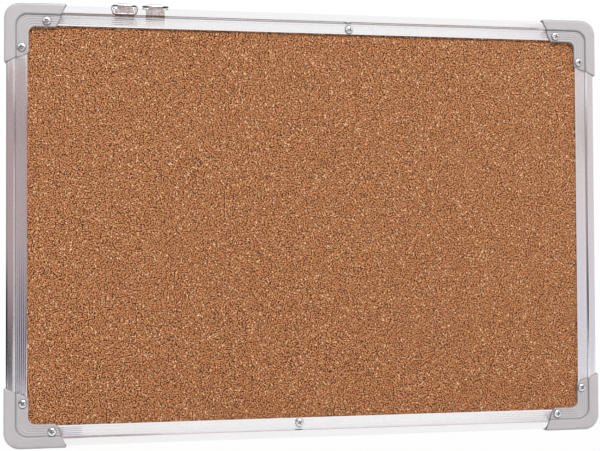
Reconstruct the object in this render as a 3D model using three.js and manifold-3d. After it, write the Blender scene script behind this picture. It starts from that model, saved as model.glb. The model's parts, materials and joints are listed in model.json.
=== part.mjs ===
// Framed cork pin board: a cork-faced panel in four aluminium rails, with moulded corner caps, screws,
// and two wire-ring hanger clips that slide along the top rail.
// Millimetres. X runs along the board, Z is up, and the board faces -Y. The origin is the middle of the
// back panel's rear face.
import * as THREE from 'three';
import { mergeVertices } from 'three/addons/utils/BufferGeometryUtils.js';
import Module from 'manifold-3d';

const wasm = await Module();
wasm.setup();

// Overall size, measured over the rails.
const FRAME_WIDTH = 500;
const FRAME_HEIGHT = 355;

// Panel layers, from the back, and how far the panel reaches under the rails.
const BACK_SHEET = 0.5;
const CORE_THICKNESS = 6;
const CORK_THICKNESS = 2.6;
const GLUE_LINE = 0.2;
const PANEL_REACH = 12;

// Rail section. Its face is a ribbed zone beside the cork, a sloped step and a raised outer band.
const RIB_ZONE = 9.1;
const STEP_RUN = 1.3;
const BAND_WIDTH = 6.2;
const BAND_LIFT = 3.4;
const FLANGE_THICKNESS = 1.3;
const RIB_HEIGHT = 0.4;
const RIB_COUNT = 5;
const RIB_TOP = 0.5;
const RIB_FOOT = 0.85;
const RIB_END_MARGIN = 0.75;
const LIP_WIDTH = 1.4;
const RAIL_WALL = 1.3;
const RAIL_EDGE_RADIUS = 2.2;
const BACK_FLANGE = 8.6;
const BACK_CHAMFER = 0.7;

// Corner caps. Leg lengths are measured along the cork edge from the corner of the cork window.
const CAP_WALL = 1.2;
const CAP_LIP_WALL = 0.78;
const CAP_LEG_OUTER = 30.6;
const CAP_LEG_STEP = 26.6;
const CAP_LEG_INNER = 22.3;
const CAP_SCALLOP_FALL = 0.45;
const CAP_STEP_OUT = 8.9;
const CAP_STEP_RUN = 0.7;
const CAP_EDGE_RADIUS = 2.4;
const CAP_RIB_HEIGHT = 0.3;
const CAP_RIB_COUNT = 4;
const CAP_RIB_TOP = 0.8;
const CAP_RIB_FOOT = 1.15;
const CAP_RIB_END_MARGIN = 1.1;
const CAP_LIP_OUT = 0.5;
const CAP_LIP_CHAMFER = 0.4;
const CAP_BACK_FLANGE = 11;
const WINDOW_CORNER_RADIUS = 6;
const CAP_CORNER_RADIUS = 13;
const CAP_CORNER_STEPS = 6;
const CAP_FACET = 2.2;

// Pan-head screws.
const SCREW_HEAD_DIAMETER = 7;
const SCREW_HEAD_HEIGHT = 2.2;
const SCREW_HEAD_RIM = 0.5;
const SCREW_SHANK_DIAMETER = 3;
const SCREW_LENGTH = 9.5;
const SCREW_POINT = 1.6;
const SCREW_SIDES = 12;
const SCREW_DOME_STEPS = 4;
const CROSS_LENGTH = 3.6;
const CROSS_WIDTH = 0.85;
const CROSS_DEPTH = 1.1;

// Where the screws sit: along a cap's leg from the corner of the cork window, or X along a rail, and out from
// the window's edge. They are drilled by hand, so no two caps are alike.
const CAP_SCREWS = {
  top_left: { top: { along: 15.4, out: 3.5 }, left: { along: 18.2, out: 4.2 } },
  top_right: { right: { along: 19, out: 2.6 }, top: { along: 18.6, out: 3.2 } },
  bottom_right: { bottom: { along: 20, out: 3.4 }, right: { along: 18.6, out: 2.4 } },
  bottom_left: { left: { along: 18.2, out: 3 }, bottom: { along: 19.6, out: 4.8 } },
};
const RAIL_SCREW_OUT = 3.8;
const TOP_RAIL_SCREW_X = 31;
const BOTTOM_RAIL_SCREW_X = -13;

// Hanger clips and their wire rings.
const CLIP_SHEET = 0.8;
const CLIP_WIDTH = 15.4;
const KNUCKLE_WIDTH = 11.6;
const KNUCKLE_LAP = 1;
const CLIP_FROM_END = 93.7;
const CLIP_SPACING = 24.8;
const CLIP_FOOT = 1.2;
const CLIP_BACK_HOOK = 7;
const RING_WIRE = 1.5;
const RING_PIVOT_WIDTH = 23;
const RING_BAR_WIDTH = 18.8;
const RING_REACH = 7.2;
const RING_CORNER_RADIUS = 1.4;
const RING_END_GAP = 1;
const RING_PIVOT_RISE = 0.9;
const RING_SIDES = 6;
const RING_STEPS = 36;
const KNUCKLE_START_DEG = -45;
const KNUCKLE_END_DEG = 155;
const KNUCKLE_STEPS = 10;

// Clearances.
const FIT_GAP = 0.3;
const SEAT_GAP = 0.1;
const WIRE_GAP = 0.2;

// Fineness of the curved edges, the least inside radius, and the sharpest bend that a sheet's sides follow.
const EDGE_ARC_STEPS = 4;
const LEAST_RADIUS = 0.1;
const MITRE_LIMIT = 0.3;
const MERGE_DISTANCE = 1e-4;

// Levels, measured forward from the back panel's rear face.
const coreBack = BACK_SHEET + GLUE_LINE;
const coreFront = coreBack + CORE_THICKNESS;
const corkBack = coreFront + GLUE_LINE;
const corkFront = corkBack + CORK_THICKNESS;
const flangeBack = corkFront + FIT_GAP;
const ribFloor = flangeBack + FLANGE_THICKNESS;
const ribTop = ribFloor + RIB_HEIGHT;
const bandFront = corkFront + BAND_LIFT;
const railBackInside = -FIT_GAP;
const railBack = railBackInside - RAIL_WALL;
const capBackInside = railBack - FIT_GAP;
const capBack = capBackInside - CAP_WALL;
const capSkinInside = ribTop + FIT_GAP;
const capRibTop = capSkinInside + CAP_WALL;
const capBandInside = bandFront + FIT_GAP;
const capBandFront = capBandInside + CAP_WALL;

// Distances out from the edge of the cork window.
const railFace = RIB_ZONE + STEP_RUN + BAND_WIDTH;
const railInside = railFace - RAIL_WALL;
const stepTop = RIB_ZONE + STEP_RUN;
const capInside = railFace + FIT_GAP;
const capOutside = capInside + CAP_WALL;
const capLipInside = -FIT_GAP;
const capLipEdge = capLipInside - CAP_LIP_WALL;

// The ribs of a rail and of a cap, counted outwards from the middle of the lip.
const capStepFoot = CAP_STEP_OUT - CAP_STEP_RUN / 2;
const railRibs = {
  first: LIP_WIDTH / 2,
  last: RIB_ZONE - RIB_END_MARGIN,
  count: RIB_COUNT,
  top: RIB_TOP,
  foot: RIB_FOOT,
};
const capRibs = {
  first: (capLipEdge + CAP_LIP_OUT) / 2,
  last: capStepFoot - CAP_RIB_END_MARGIN,
  count: CAP_RIB_COUNT,
  top: CAP_RIB_TOP,
  foot: CAP_RIB_FOOT,
};

// The cork window, and a rail's step as a line that other pieces stand off from.
const windowWidth = FRAME_WIDTH - 2 * railFace;
const windowHeight = FRAME_HEIGHT - 2 * railFace;
const stepRise = bandFront - ribFloor;
const stepSlope = STEP_RUN / stepRise;
const stepTilt = Math.hypot(1, stepSlope);

/** Distance out at which a line, standing off from the rail's step by a gap, reaches a level. */
function stepAt(level, gap) {
  return RIB_ZONE + (level - ribFloor) * stepSlope - gap * stepTilt;
}

const cork = new THREE.MeshStandardMaterial({ color: 0xb07a4c, roughness: 0.95, metalness: 0 });
const fibre = new THREE.MeshStandardMaterial({ color: 0x9a7f5f, roughness: 0.9, metalness: 0 });
const galvanised = new THREE.MeshStandardMaterial({ color: 0xb9bcbe, roughness: 0.45, metalness: 0.9 });
const aluminium = new THREE.MeshStandardMaterial({ color: 0xe2dfe1, roughness: 0.35, metalness: 1 });
const greyPlastic = new THREE.MeshStandardMaterial({ color: 0xc4c0c1, roughness: 0.5, metalness: 0 });
const zinc = new THREE.MeshStandardMaterial({ color: 0xe0e0e2, roughness: 0.2, metalness: 1 });
const springSteel = new THREE.MeshStandardMaterial({ color: 0xc9c2c3, roughness: 0.25, metalness: 1 });

/** A three.js geometry as a solid: positions merged, and triangles that closed up at a pole left out. */
function solidOf(geometry) {
  const bare = geometry.index ? geometry.toNonIndexed() : geometry.clone();
  bare.deleteAttribute('normal');
  bare.deleteAttribute('uv');
  const merged = mergeVertices(bare, MERGE_DISTANCE);
  const corners = merged.index.array;
  const triVerts = [];
  for (let i = 0; i < corners.length; i += 3) {
    const [a, b, c] = [corners[i], corners[i + 1], corners[i + 2]];
    if (a !== b && b !== c && c !== a) triVerts.push(a, b, c);
  }
  return new wasm.Manifold(new wasm.Mesh({
    numProp: 3,
    vertProperties: new Float32Array(merged.attributes.position.array),
    triVerts: new Uint32Array(triVerts),
  }));
}

/** A solid back as a three.js geometry. */
function geometryOf(solid) {
  const mesh = solid.getMesh();
  const geometry = new THREE.BufferGeometry();
  geometry.setAttribute('position', new THREE.BufferAttribute(new Float32Array(mesh.vertProperties), 3));
  geometry.setIndex(new THREE.BufferAttribute(new Uint32Array(mesh.triVerts), 1));
  geometry.computeVertexNormals();
  return geometry;
}

function meshOf(name, geometry, material) {
  const mesh = new THREE.Mesh(geometry, material);
  mesh.name = name;
  return mesh;
}

/** A geometry with every vertex moved by a function of its x, y and z. */
function remapped(geometry, place) {
  const position = geometry.attributes.position;
  for (let i = 0; i < position.count; i += 1) {
    position.setXYZ(i, ...place(position.getX(i), position.getY(i), position.getZ(i)));
  }
  return geometry;
}

/** A section in (out, level), extruded along X as it lies on the top rail: out is up, level is forward. */
function alongRail(section, length) {
  const settings = { depth: length, bevelEnabled: false, curveSegments: EDGE_ARC_STEPS };
  const geometry = new THREE.ExtrudeGeometry(section, settings);
  return remapped(geometry, (out, level, along) => [along - length / 2, -level, out]);
}

/** A screw hole: a cylinder along Y between two levels, at X and Z. */
function screwHole(x, z, backLevel, frontLevel) {
  const radius = SCREW_SHANK_DIAMETER / 2 + FIT_GAP;
  const hole = new THREE.CylinderGeometry(radius, radius, frontLevel - backLevel, SCREW_SIDES);
  hole.translate(x, -(frontLevel + backLevel) / 2, z);
  return hole;
}

/** A geometry with holes, as screwHole draws them, taken out of it. */
function drilled(geometry, holes) {
  let solid = solidOf(geometry);
  for (const hole of holes) solid = solid.subtract(solidOf(hole));
  return geometryOf(solid);
}

/** Ribs as section points, from the lip outwards, between the level of a floor and of a crest. */
function ribPoints(ribs, floor, crest) {
  const points = [];
  const pitch = (ribs.last - ribs.first) / ribs.count;
  for (let i = 1; i <= ribs.count; i += 1) {
    const middle = ribs.first + i * pitch;
    points.push([middle - ribs.foot / 2, floor]);
    points.push([middle - ribs.top / 2, crest]);
    points.push([middle + ribs.top / 2, crest]);
    points.push([middle + ribs.foot / 2, floor]);
  }
  return points;
}

/** Rail section: a channel with a ribbed, stepped front, an outer wall and a back flange. */
function railSection() {
  const shape = new THREE.Shape();
  shape.moveTo(0, flangeBack);
  shape.lineTo(stepAt(flangeBack + RAIL_WALL, -RAIL_WALL), flangeBack);
  shape.lineTo(stepAt(bandFront, -RAIL_WALL), bandFront - RAIL_WALL);
  const innerRadius = Math.max(RAIL_EDGE_RADIUS - RAIL_WALL, LEAST_RADIUS);
  const innerBendLevel = bandFront - RAIL_WALL - innerRadius;
  shape.lineTo(railInside - innerRadius, bandFront - RAIL_WALL);
  shape.absarc(railInside - innerRadius, innerBendLevel, innerRadius, Math.PI / 2, 0, true);
  shape.lineTo(railInside, railBackInside);
  shape.lineTo(railFace - BACK_FLANGE, railBackInside);
  shape.lineTo(railFace - BACK_FLANGE, railBack);
  shape.lineTo(railFace - BACK_CHAMFER, railBack);
  shape.lineTo(railFace, railBack + BACK_CHAMFER);
  const bendLevel = bandFront - RAIL_EDGE_RADIUS;
  shape.absarc(railFace - RAIL_EDGE_RADIUS, bendLevel, RAIL_EDGE_RADIUS, 0, Math.PI / 2, false);
  shape.lineTo(stepTop, bandFront);
  shape.lineTo(RIB_ZONE, ribFloor);
  for (const [out, level] of ribPoints(railRibs, ribFloor, ribTop).reverse()) shape.lineTo(out, level);
  shape.lineTo(LIP_WIDTH, ribFloor);
  shape.lineTo(LIP_WIDTH, ribTop);
  shape.lineTo(0, ribTop);
  return shape;
}

/** One rail as it lies on top of the window, with holes at places given along it and out. */
function railGeometry(windowLength, screwPlaces) {
  const geometry = alongRail(railSection(), windowLength - 2 * FIT_GAP);
  const [holeBack, holeFront] = [flangeBack - FIT_GAP, ribTop + FIT_GAP];
  const holes = screwPlaces.map(({ x, out }) => screwHole(x, out, holeBack, holeFront));
  return drilled(geometry, holes);
}

/** How far along its leg a cap reaches at a distance out: two convex scallops that meet at the step. */
function capLegEnd(out) {
  const onBand = out >= CAP_STEP_OUT;
  const [from, to] = onBand ? [capOutside, CAP_STEP_OUT] : [CAP_STEP_OUT, capLipEdge];
  const [start, end] = onBand ? [CAP_LEG_OUTER, CAP_LEG_STEP] : [CAP_LEG_STEP, CAP_LEG_INNER];
  const share = (from - out) / (from - to);
  return start - (start - end) * (CAP_SCALLOP_FALL * share + (1 - CAP_SCALLOP_FALL) * share ** 2);
}

/** A corner cap's section as points of distance out and level, with the hollow that the rail's end fills. */
function capSection() {
  const points = [[capLipEdge, flangeBack], [capLipInside, flangeBack], [capLipInside, capSkinInside]];
  points.push([stepAt(capSkinInside, FIT_GAP), capSkinInside]);
  points.push([stepAt(capBandInside, FIT_GAP), capBandInside]);
  const innerRadius = RAIL_EDGE_RADIUS + FIT_GAP;
  points.push(...arcPoints(capInside - innerRadius, capBandInside - innerRadius, innerRadius, 90, 0));
  points.push([capInside, capBackInside], [capOutside - CAP_BACK_FLANGE, capBackInside]);
  points.push([capOutside - CAP_BACK_FLANGE, capBack], [capOutside - BACK_CHAMFER, capBack]);
  points.push([capOutside, capBack + BACK_CHAMFER]);
  const edgeOut = capOutside - CAP_EDGE_RADIUS;
  points.push(...arcPoints(edgeOut, capBandFront - CAP_EDGE_RADIUS, CAP_EDGE_RADIUS, 0, 90));
  points.push([CAP_STEP_OUT + CAP_STEP_RUN / 2, capBandFront]);
  points.push([capStepFoot, capRibTop - CAP_RIB_HEIGHT]);
  points.push(...ribPoints(capRibs, capRibTop - CAP_RIB_HEIGHT, capRibTop).reverse());
  points.push([CAP_LIP_OUT, capRibTop - CAP_RIB_HEIGHT], [CAP_LIP_OUT, capRibTop]);
  points.push([capLipEdge + CAP_LIP_CHAMFER, capRibTop], [capLipEdge, capRibTop - CAP_LIP_CHAMFER]);
  return splitRuns(points, CAP_FACET);
}

/** Points on an arc in the section plane, angles in degrees from the outward direction to the front. */
function arcPoints(out, level, radius, fromDeg, toDeg) {
  const points = [];
  for (let i = 0; i <= EDGE_ARC_STEPS; i += 1) {
    const angle = THREE.MathUtils.degToRad(fromDeg + ((toDeg - fromDeg) * i) / EDGE_ARC_STEPS);
    points.push([out + radius * Math.cos(angle), level + radius * Math.sin(angle)]);
  }
  return points;
}

/** A closed outline with extra points, so that no run across the section is longer than a facet. */
function splitRuns(points, facet) {
  const split = [];
  points.forEach(([out, level], i) => {
    const [nextOut, nextLevel] = points[(i + 1) % points.length];
    const pieces = Math.max(1, Math.ceil(Math.abs(nextOut - out) / facet));
    for (let k = 0; k < pieces; k += 1) {
      const share = k / pieces;
      split.push(new THREE.Vector2(out + (nextOut - out) * share, level + (nextLevel - level) * share));
    }
  });
  return split;
}

/** A cap as it lies at the top left: its section carried up one leg, round the corner and along the other. */
function capGeometry(acrossScrew, uprightScrew) {
  const stations = CAP_CORNER_STEPS + 2;
  const shape = new THREE.Shape(capSection());
  const settings = { depth: stations, steps: stations, bevelEnabled: false };
  const straight = new THREE.ExtrudeGeometry(shape, settings);
  const radiusGrowth = (CAP_CORNER_RADIUS - WINDOW_CORNER_RADIUS) / capOutside;
  const swept = remapped(straight, (out, level, station) => {
    const radius = WINDOW_CORNER_RADIUS + radiusGrowth * out;
    const centre = radius - out;
    const step = Math.round(station);
    if (step === 0) return [-out, -level, -capLegEnd(out)];
    if (step === stations) return [capLegEnd(out), -level, out];
    const angle = ((step - 1) / CAP_CORNER_STEPS) * (Math.PI / 2);
    return [centre - radius * Math.cos(angle), -level, radius * Math.sin(angle) - centre];
  });
  const holes = [
    screwHole(acrossScrew.along, acrossScrew.out, flangeBack, capRibTop + CAP_WALL),
    screwHole(-uprightScrew.out, -uprightScrew.along, flangeBack, capRibTop + CAP_WALL),
  ];
  return drilled(swept, holes);
}

/** A pan-head screw with a cross recess, its axis along -Y and the underside of its head at the origin. */
function screwGeometry() {
  const headRadius = SCREW_HEAD_DIAMETER / 2;
  const shankRadius = SCREW_SHANK_DIAMETER / 2;
  const profile = [
    new THREE.Vector2(0, -SCREW_LENGTH),
    new THREE.Vector2(shankRadius, SCREW_POINT - SCREW_LENGTH),
    new THREE.Vector2(shankRadius, 0),
    new THREE.Vector2(headRadius, 0),
  ];
  for (let i = 0; i < SCREW_DOME_STEPS; i += 1) {
    const angle = (i / SCREW_DOME_STEPS) * (Math.PI / 2);
    const lift = SCREW_HEAD_RIM + (SCREW_HEAD_HEIGHT - SCREW_HEAD_RIM) * Math.sin(angle);
    profile.push(new THREE.Vector2(headRadius * Math.cos(angle), lift));
  }
  profile.push(new THREE.Vector2(0, SCREW_HEAD_HEIGHT));
  let solid = solidOf(new THREE.LatheGeometry(profile, SCREW_SIDES));
  for (const [along, across] of [[CROSS_LENGTH, CROSS_WIDTH], [CROSS_WIDTH, CROSS_LENGTH]]) {
    const slot = new THREE.BoxGeometry(along, 2 * CROSS_DEPTH, across);
    slot.translate(0, SCREW_HEAD_HEIGHT, 0);
    solid = solid.subtract(solidOf(slot));
  }
  return geometryOf(solid).rotateX(Math.PI);
}

/** A bent sheet as a closed outline: its middle line moved half a thickness to each side. */
function sheetOutline(line, thickness) {
  const half = thickness / 2;
  const sides = [[], []];
  line.forEach(([out, level], i) => {
    const [beforeOut, beforeLevel] = line[Math.max(i - 1, 0)];
    const [afterOut, afterLevel] = line[Math.min(i + 1, line.length - 1)];
    const into = new THREE.Vector2(out - beforeOut, level - beforeLevel).normalize();
    const onward = new THREE.Vector2(afterOut - out, afterLevel - level).normalize();
    const run = into.clone().add(onward).normalize();
    const ahead = onward.lengthSq() > 0 ? onward : into;
    const reach = half / Math.max(run.dot(ahead), MITRE_LIMIT);
    sides[0].push(new THREE.Vector2(out - run.y * reach, level + run.x * reach));
    sides[1].push(new THREE.Vector2(out + run.y * reach, level - run.x * reach));
  });
  return [...sides[0], ...sides[1].reverse()];
}

// The sheet of a clip stands off from the rail by a fit gap, and its knuckle wraps the ring's wire.
const sheetOffset = FIT_GAP + CLIP_SHEET / 2;
const plateLevel = bandFront + sheetOffset;
const plateFront = plateLevel + CLIP_SHEET / 2;
const strapOut = railFace + sheetOffset;
const strapTop = strapOut + CLIP_SHEET / 2;
const pivotOut = railFace + RING_PIVOT_RISE;
const pivotLevel = plateLevel;
const knuckleRadius = RING_WIRE / 2 + WIRE_GAP + CLIP_SHEET / 2;

/** A hanger clip: a plate with a foot past the step, and a narrower strap round the wire and the rail. */
function clipGeometry() {
  const footLevel = ribTop + sheetOffset;
  const ankleOut = stepAt(footLevel, sheetOffset);
  const knuckle = [];
  for (let i = 0; i <= KNUCKLE_STEPS; i += 1) {
    const degrees = KNUCKLE_START_DEG + ((KNUCKLE_END_DEG - KNUCKLE_START_DEG) * i) / KNUCKLE_STEPS;
    const angle = THREE.MathUtils.degToRad(degrees);
    knuckle.push([pivotOut + knuckleRadius * Math.sin(angle), pivotLevel + knuckleRadius * Math.cos(angle)]);
  }
  const [firstOut, firstLevel] = knuckle[0];
  const [lastOut, lastLevel] = knuckle[KNUCKLE_STEPS];
  const strapLevel = lastLevel - (lastOut - strapOut);
  const backLevel = railBack - sheetOffset;
  const shoulderOut = firstOut - (firstLevel - plateLevel);
  const plate = [
    [ankleOut - CLIP_FOOT, footLevel],
    [ankleOut, footLevel],
    [stepAt(plateLevel, sheetOffset), plateLevel],
    [shoulderOut, plateLevel],
  ];
  const strap = [
    [shoulderOut - KNUCKLE_LAP, plateLevel],
    [shoulderOut, plateLevel],
    ...knuckle,
    [strapOut, strapLevel],
    [strapOut, backLevel],
    [strapOut - CLIP_BACK_HOOK, backLevel],
  ];
  const plateSheet = alongRail(new THREE.Shape(sheetOutline(plate, CLIP_SHEET)), CLIP_WIDTH);
  const strapSheet = alongRail(new THREE.Shape(sheetOutline(strap, CLIP_SHEET)), KNUCKLE_WIDTH);
  return geometryOf(solidOf(plateSheet).add(solidOf(strapSheet)));
}

/** The point where a wire's centre line starts or ends its bend at a corner, towards another corner. */
function towards(corner, other, distance) {
  return corner.clone().add(other.clone().sub(corner).setLength(distance));
}

/** A wire ring in the plane of X and -Z: its two ends meet in the knuckle, and its bar hangs below. */
function ringGeometry() {
  const pivotHalf = (RING_PIVOT_WIDTH - RING_WIRE) / 2;
  const barHalf = (RING_BAR_WIDTH - RING_WIRE) / 2;
  const corners = [
    new THREE.Vector3(RING_END_GAP / 2, 0, 0),
    new THREE.Vector3(pivotHalf, 0, 0),
    new THREE.Vector3(barHalf, 0, -RING_REACH),
    new THREE.Vector3(-barHalf, 0, -RING_REACH),
    new THREE.Vector3(-pivotHalf, 0, 0),
    new THREE.Vector3(-RING_END_GAP / 2, 0, 0),
  ];
  const path = new THREE.CurvePath();
  let last = corners[0];
  for (let i = 1; i < corners.length - 1; i += 1) {
    const bendStart = towards(corners[i], corners[i - 1], RING_CORNER_RADIUS);
    const bendEnd = towards(corners[i], corners[i + 1], RING_CORNER_RADIUS);
    path.add(new THREE.LineCurve3(last, bendStart));
    path.add(new THREE.QuadraticBezierCurve3(bendStart, corners[i], bendEnd));
    last = bendEnd;
  }
  path.add(new THREE.LineCurve3(last, corners[corners.length - 1]));
  const section = new THREE.Shape();
  section.absarc(0, 0, RING_WIRE / 2, 0, 2 * Math.PI, false);
  const tube = new THREE.ExtrudeGeometry(section, {
    extrudePath: path,
    steps: RING_STEPS,
    curveSegments: RING_SIDES / 2,
  });
  return geometryOf(solidOf(tube));
}

// Where a ring comes to rest: its bar against the plate in front, or on the strap behind.
const ringStandOff = RING_WIRE / 2 + FIT_GAP;
const ringHangAngle = Math.asin((plateFront + ringStandOff - pivotLevel) / RING_REACH);
const ringBackRise = Math.asin((strapTop + ringStandOff - pivotOut) / RING_REACH);
const ringBackAngle = (3 * Math.PI) / 2 - ringBackRise;

const board = new THREE.Group();

// The four sides of the frame, turned about Y from the top, with the screws that a rail takes on its own, and
// the corners where the sides start.
const sides = [
  { name: 'top', turn: 0, railScrews: [TOP_RAIL_SCREW_X] },
  { name: 'right', turn: Math.PI / 2, railScrews: [] },
  { name: 'bottom', turn: Math.PI, railScrews: [-BOTTOM_RAIL_SCREW_X] },
  { name: 'left', turn: -Math.PI / 2, railScrews: [] },
];
const cornerNames = ['top_left', 'top_right', 'bottom_right', 'bottom_left'];

const screwSolid = screwGeometry();
const panelHoles = [];

/** A screw with its head on a seat level, at X and Z of its parent, and its hole in the panel. */
function addScrew(parent, name, x, z, seatLevel) {
  const screw = meshOf(name, screwSolid, zinc);
  screw.position.set(x, -(seatLevel + SEAT_GAP), z);
  parent.add(screw);
  parent.updateWorldMatrix(true, true);
  const place = screw.getWorldPosition(new THREE.Vector3());
  const tipLevel = seatLevel + SEAT_GAP - SCREW_LENGTH;
  panelHoles.push({ x: place.x, z: place.z, tipLevel });
}

sides.forEach((side, i) => {
  const before = sides[(i + sides.length - 1) % sides.length];
  const cornerName = cornerNames[i];
  const startScrews = CAP_SCREWS[cornerName];
  const endScrew = CAP_SCREWS[cornerNames[(i + 1) % sides.length]][side.name];
  const across = i % 2 === 0;
  const length = across ? windowWidth : windowHeight;
  const height = across ? windowHeight : windowWidth;

  const frame = new THREE.Group();
  frame.rotation.y = side.turn;
  board.add(frame);
  const edge = new THREE.Group();
  edge.position.z = height / 2;
  frame.add(edge);
  const railScrews = side.railScrews.map((x) => ({ x, out: RAIL_SCREW_OUT }));
  const startScrew = startScrews[side.name];
  const rail = railGeometry(length, [
    { x: startScrew.along - length / 2, out: startScrew.out },
    { x: length / 2 - endScrew.along, out: endScrew.out },
    ...railScrews,
  ]);
  edge.add(meshOf(`rail_${side.name}`, rail, aluminium));
  for (const { x, out } of railScrews) addScrew(edge, `rail_screw_${side.name}`, x, out, ribTop);

  const seat = new THREE.Group();
  seat.position.x = -length / 2;
  edge.add(seat);
  const beforeScrew = startScrews[before.name];
  seat.add(meshOf(`corner_cap_${cornerName}`, capGeometry(startScrew, beforeScrew), greyPlastic));
  const screwName = `cap_screw_${cornerName}`;
  addScrew(seat, `${screwName}_${side.name}`, startScrew.along, startScrew.out, capRibTop);
  addScrew(seat, `${screwName}_${before.name}`, -beforeScrew.out, -beforeScrew.along, capRibTop);
});

/** One layer of the panel between two levels, drilled where the screws reach it. */
function panelLayer(backLevel, frontLevel) {
  const layer = new THREE.BoxGeometry(
    windowWidth + 2 * PANEL_REACH,
    frontLevel - backLevel,
    windowHeight + 2 * PANEL_REACH,
  );
  layer.translate(0, -(frontLevel + backLevel) / 2, 0);
  const reaching = panelHoles.filter((hole) => hole.tipLevel < frontLevel);
  const holeFront = frontLevel + FIT_GAP;
  const holes = reaching.map(({ x, z, tipLevel }) => screwHole(x, z, tipLevel - FIT_GAP, holeFront));
  return drilled(layer, holes);
}

board.add(meshOf('back_panel', panelLayer(0, BACK_SHEET), galvanised));
board.add(meshOf('core_board', panelLayer(coreBack, coreFront), fibre));
board.add(meshOf('cork_sheet', panelLayer(corkBack, corkFront), cork));

const clipSolid = clipGeometry();
const ringSolid = ringGeometry();
const leftClipX = CLIP_FROM_END - FRAME_WIDTH / 2;
const hangers = [
  { name: 'left', x: leftClipX, ringTurn: -ringHangAngle },
  { name: 'right', x: leftClipX + CLIP_SPACING, ringTurn: -ringBackAngle },
];
for (const hanger of hangers) {
  const place = new THREE.Group();
  place.position.set(hanger.x, 0, windowHeight / 2);
  board.add(place);
  place.add(meshOf(`hanger_clip_${hanger.name}`, clipSolid, springSteel));
  const ring = meshOf(`hanger_ring_${hanger.name}`, ringSolid, springSteel);
  ring.position.set(0, -pivotLevel, pivotOut);
  ring.rotation.x = hanger.ringTurn;
  place.add(ring);
}

export default board;
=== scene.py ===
import json

import bpy
import numpy as np
from mathutils import Matrix, Vector

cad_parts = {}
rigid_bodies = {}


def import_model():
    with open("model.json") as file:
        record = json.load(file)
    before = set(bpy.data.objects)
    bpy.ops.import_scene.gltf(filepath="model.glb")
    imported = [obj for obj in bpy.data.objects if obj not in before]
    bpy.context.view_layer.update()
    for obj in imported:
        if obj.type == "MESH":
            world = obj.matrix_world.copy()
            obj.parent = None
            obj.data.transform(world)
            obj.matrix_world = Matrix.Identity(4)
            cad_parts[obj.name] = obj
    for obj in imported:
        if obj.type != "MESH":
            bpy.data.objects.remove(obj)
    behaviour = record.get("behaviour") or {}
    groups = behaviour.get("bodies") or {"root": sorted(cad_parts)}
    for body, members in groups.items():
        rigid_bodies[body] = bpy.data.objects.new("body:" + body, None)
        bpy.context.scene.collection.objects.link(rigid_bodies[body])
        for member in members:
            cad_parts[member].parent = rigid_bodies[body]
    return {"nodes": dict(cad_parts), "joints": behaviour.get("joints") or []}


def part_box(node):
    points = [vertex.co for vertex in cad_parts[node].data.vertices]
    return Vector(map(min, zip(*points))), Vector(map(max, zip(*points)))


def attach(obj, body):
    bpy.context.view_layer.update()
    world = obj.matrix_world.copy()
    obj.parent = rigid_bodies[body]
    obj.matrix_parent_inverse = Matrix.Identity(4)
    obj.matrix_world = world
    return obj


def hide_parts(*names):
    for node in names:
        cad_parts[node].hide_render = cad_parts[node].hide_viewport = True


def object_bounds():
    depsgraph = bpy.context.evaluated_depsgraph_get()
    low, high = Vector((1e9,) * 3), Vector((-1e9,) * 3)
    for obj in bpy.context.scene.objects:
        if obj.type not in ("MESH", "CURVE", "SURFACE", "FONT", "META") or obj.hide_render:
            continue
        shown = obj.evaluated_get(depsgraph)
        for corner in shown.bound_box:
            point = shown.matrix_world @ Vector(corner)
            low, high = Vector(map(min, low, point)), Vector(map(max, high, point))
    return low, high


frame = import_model()
cad_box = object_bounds()

# Back sheet: galvanised steel half a millimetre thick, glued to the rear of the core to keep the panel
# flat. The hot zinc bath leaves it covered in crystal spangles of slightly different greys.
MM = 0.001
SPANGLE = 9 * MM
SPANGLE_WANDER = 2.4 * MM
WANDER_WAVES = 220.0
FROST_WAVES = 900.0
RUB_WAVES = 4.0
RUB_STRETCH = (6.0, 1.0, 70.0)
RUBBED = (0.56, 0.72)
ZINC_DARK = (0.36, 0.37, 0.385, 1)
ZINC_PALE = (0.60, 0.61, 0.62, 1)


class Tone:
    """A socket in a shader expression: operators with sockets and numbers add Math nodes to its tree."""

    def __init__(self, socket):
        self.socket = socket
        self.tree = socket.id_data

    def node(self, kind, settings, sockets, output=0):
        """Adds a node: its settings are set first, then each socket gets a value or a link."""
        made = self.tree.nodes.new(kind)
        for name, value in settings.items():
            if name == "stops":
                for _ in value[2:]:
                    made.color_ramp.elements.new(1.0)
                for element, (position, colour) in zip(made.color_ramp.elements, value):
                    element.position = position
                    element.color = colour
            else:
                setattr(made, name, value)
        for key, value in sockets.items():
            if isinstance(value, Tone):
                self.tree.links.new(value.socket, made.inputs[key])
            else:
                made.inputs[key].default_value = value
        return Tone(made.outputs[output])

    def maths(self, operation, first, second):
        """Adds a Math node."""
        return self.node("ShaderNodeMath", {"operation": operation}, {0: first, 1: second})

    def vector(self, operation, sockets):
        """Adds a Vector Math node."""
        return self.node("ShaderNodeVectorMath", {"operation": operation}, sockets)

    def __add__(self, other):
        return self.maths("ADD", self, other)

    def __radd__(self, other):
        return self.maths("ADD", other, self)

    def __sub__(self, other):
        return self.maths("SUBTRACT", self, other)

    def __rsub__(self, other):
        return self.maths("SUBTRACT", other, self)

    def __mul__(self, other):
        return self.maths("MULTIPLY", self, other)

    def __rmul__(self, other):
        return self.maths("MULTIPLY", other, self)


def new_finish(name, constants):
    """A material with these constants on its Principled shader, and its Object coordinates."""
    material = bpy.data.materials.new(name)
    material.use_nodes = True
    tree = material.node_tree
    for socket, value in constants.items():
        tree.nodes["Principled BSDF"].inputs[socket].default_value = value
    return material, Tone(tree.nodes.new("ShaderNodeTexCoord").outputs["Object"])


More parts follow.
